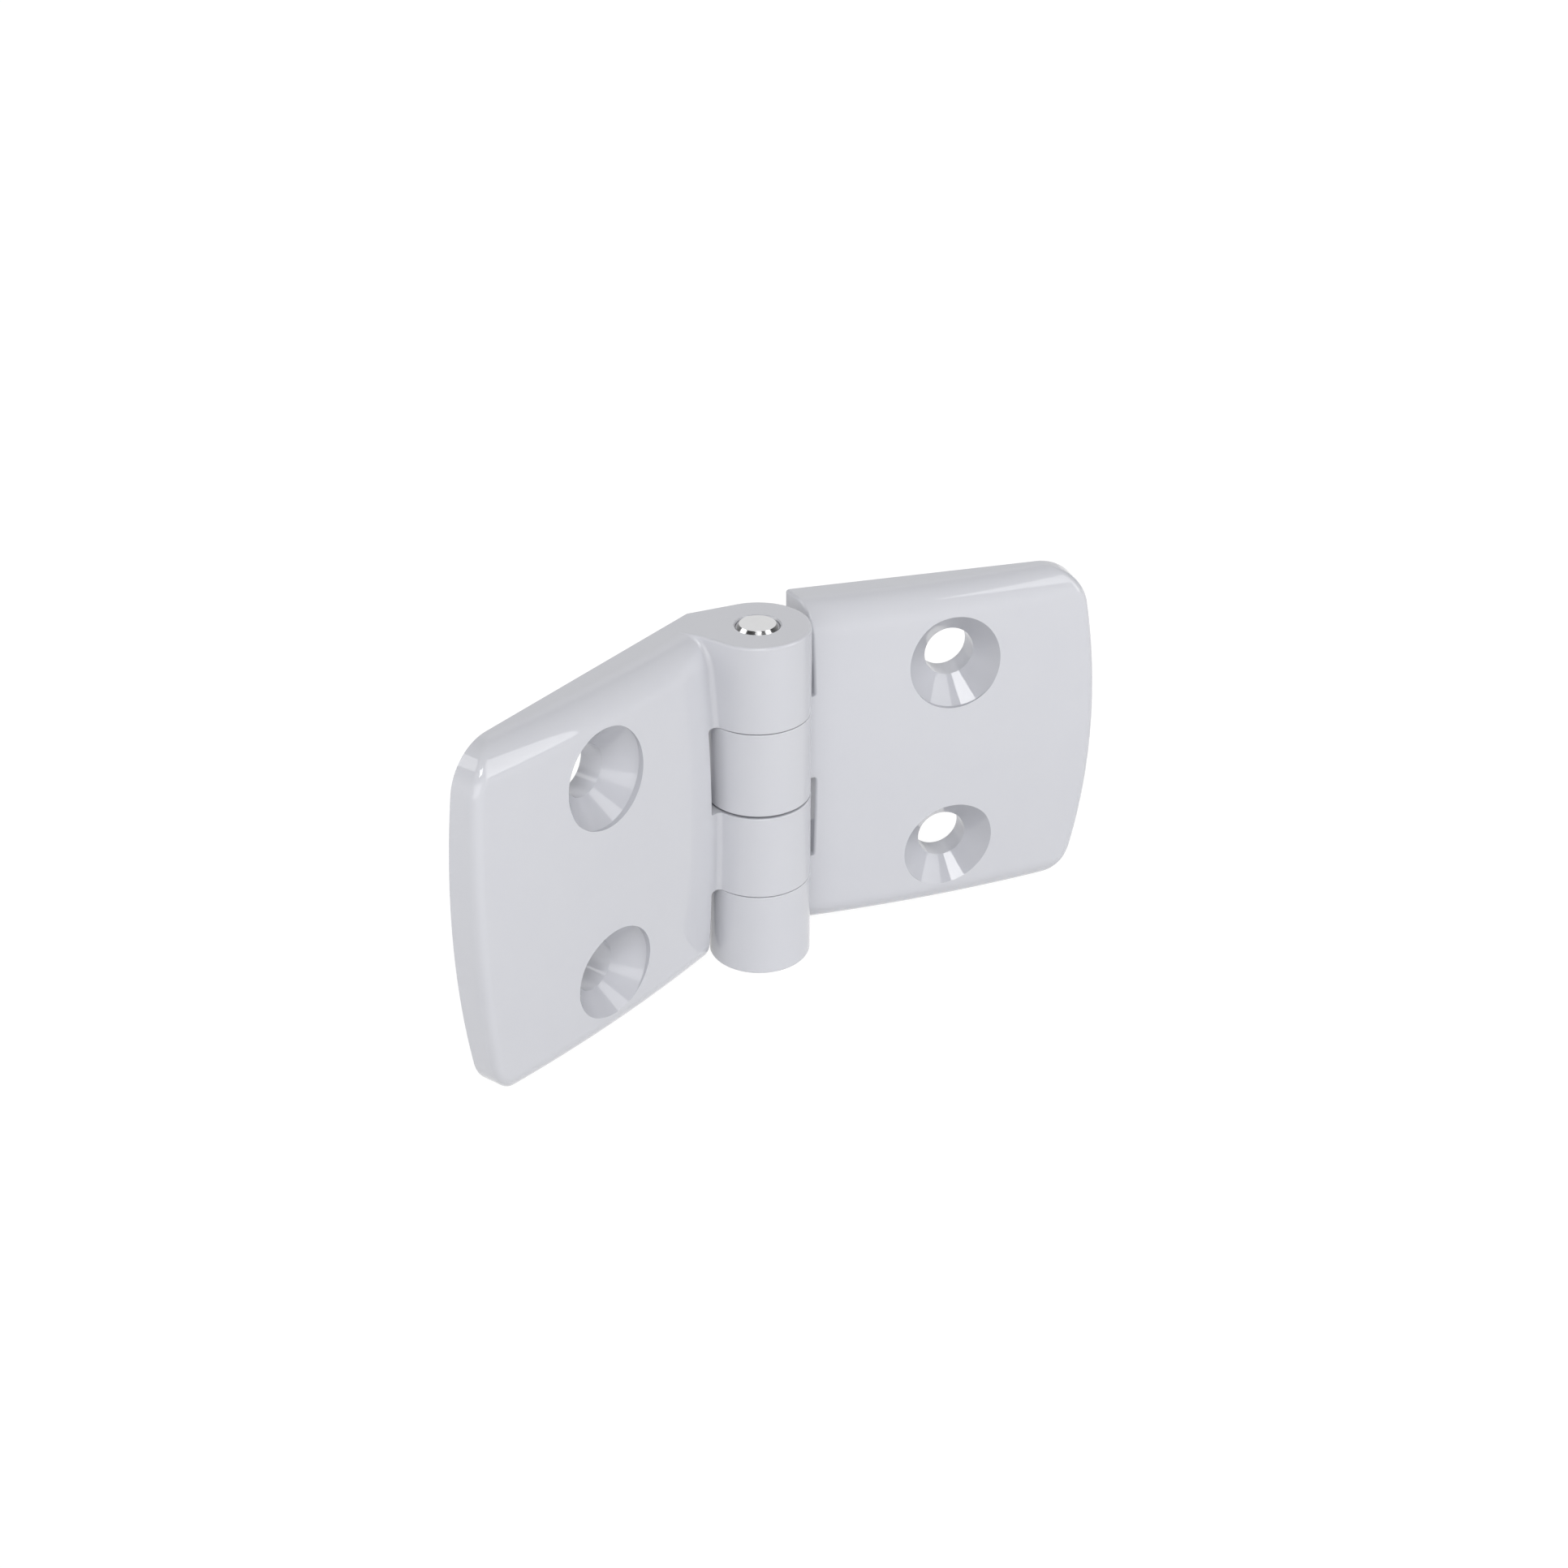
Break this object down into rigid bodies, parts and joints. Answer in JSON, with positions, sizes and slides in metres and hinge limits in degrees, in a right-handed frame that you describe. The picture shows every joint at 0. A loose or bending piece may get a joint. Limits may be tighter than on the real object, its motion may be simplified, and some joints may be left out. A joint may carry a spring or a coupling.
{
  "type": "combination hinge",
  "caption": "Surface hinge with crowned cast leaves, round-nosed knuckles on a plain steel pin and countersunk holes for flat-head screws.",
  "frame": {"origin": "middle of the right leaf's two screw holes, on its back plane", "axes": "+X from the pin along the right leaf to its outer end, +Y out of the right leaf's back, +Z along the pin"},
  "size_m": [0.0977, 0.0388, 0.0516],
  "materials": {
    "leaf_coat": "satin",
    "pin_steel": "polished"
  },
  "bodies": {
    "right_half": {"right_leaf": "leaf_coat", "hinge_pin": "pin_steel"},
    "left_half": {"left_leaf": "leaf_coat"}
  },
  "joints": [
    {"name": "leaf_swing", "type": "hinge", "parent": "right_half", "child": "left_half", "pos_m": [-0.0294, -0.00975, 0], "axis": [0, 0, 1], "range_deg": [-95, 140]}
  ]
}
